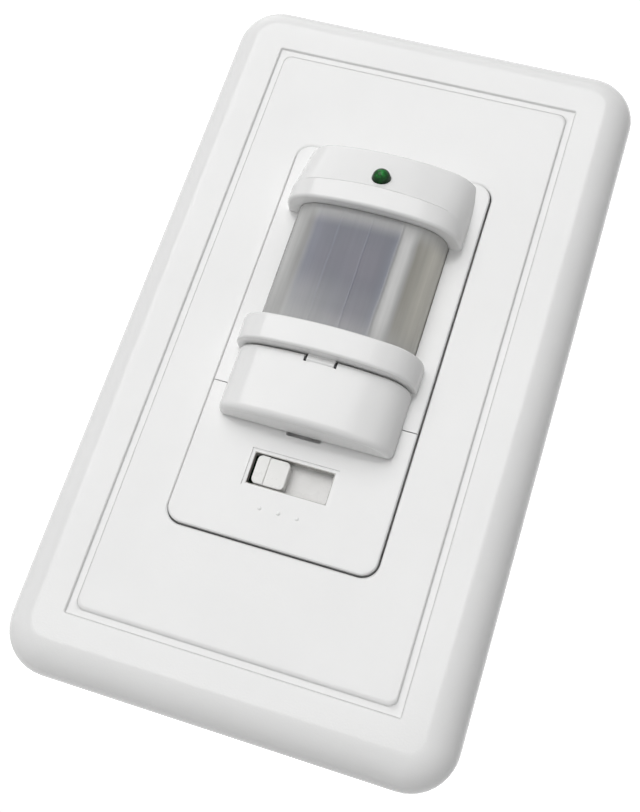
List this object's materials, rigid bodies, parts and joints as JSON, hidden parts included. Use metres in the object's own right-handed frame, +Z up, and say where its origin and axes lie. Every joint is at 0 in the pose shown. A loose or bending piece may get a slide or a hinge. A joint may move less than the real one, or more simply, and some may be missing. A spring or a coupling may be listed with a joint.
{
  "type": "motion sensor light switch",
  "caption": "Wall switch with a rounded clip-on plate around an insert with a hooded sensor lens, lamp, flip-up adjuster door and mode slide, and a rear housing.",
  "frame": {"origin": "centre of the wall plate, on the wall surface, midway between the wall box screws", "axes": "+X to the right and +Z up as seen from the room, +Y into the wall; the front faces -Y"},
  "size_m": [0.07, 0.0468, 0.12],
  "materials": {
    "white_shell": "satin white, moulded",
    "white_trim": "satin white, moulded",
    "lens_film": "milky grey, translucent, smooth",
    "lamp_green": "clear dark green, smooth",
    "steel": "zinc plated",
    "ground_green": "green plated",
    "brass": "plain",
    "board": "green solder mask",
    "dark_plastic": "fine texture",
    "relay_case": "smooth",
    "film_yellow": "smooth",
    "capacitor_sleeve": "smooth sleeve",
    "varistor_blue": "dipped",
    "fuse_brown": "smooth"
  },
  "bodies": {
    "switch_body": {"wall_plate": "white_shell", "front_frame": "white_shell", "lower_front": "white_shell", "sub_plate": "white_trim", "adjuster_tray": "white_trim", "sensor_holder": "white_trim", "fresnel_lens": "lens_film", "indicator_led": "lamp_green", "sub_plate_screws": "steel", "mounting_strap": "steel", "door_hinge_pin": "steel", "housing_screws": "steel", "pir_sensor": "steel", "ground_screw": "ground_green", "trimmer_bases": "dark_plastic", "slide_switch": "dark_plastic", "rear_housing": "dark_plastic", "relay": "relay_case", "front_board": "board", "main_board": "board", "board_pins": "brass", "terminal_clamps": "brass", "terminal_screws": "brass", "film_capacitor": "film_yellow", "smoothing_capacitor": "capacitor_sleeve", "varistor": "varistor_blue", "fuse": "fuse_brown"},
    "door": {"adjuster_door": "white_shell"},
    "slider": {"slide_knob": "white_trim"},
    "time_dial": {"time_knob": "white_trim"},
    "light_dial": {"light_knob": "white_trim"}
  },
  "joints": [
    {"name": "door_hinge", "type": "hinge", "parent": "switch_body", "child": "door", "pos_m": [0, -0.0121, -0.0052], "axis": [-1, 0, 0], "range_deg": [0, 90]},
    {"name": "mode_slide", "type": "slide", "parent": "switch_body", "child": "slider", "axis": [1, 0, 0], "range_m": [0, 0.0059]},
    {"name": "time_turn", "type": "hinge", "parent": "switch_body", "child": "time_dial", "pos_m": [-0.0055, -0.0062, -0.0103], "axis": [0, 1, 0], "range_deg": [-135, 135]},
    {"name": "light_turn", "type": "hinge", "parent": "switch_body", "child": "light_dial", "pos_m": [0.0055, -0.0062, -0.0103], "axis": [0, 1, 0], "range_deg": [-135, 135]}
  ]
}
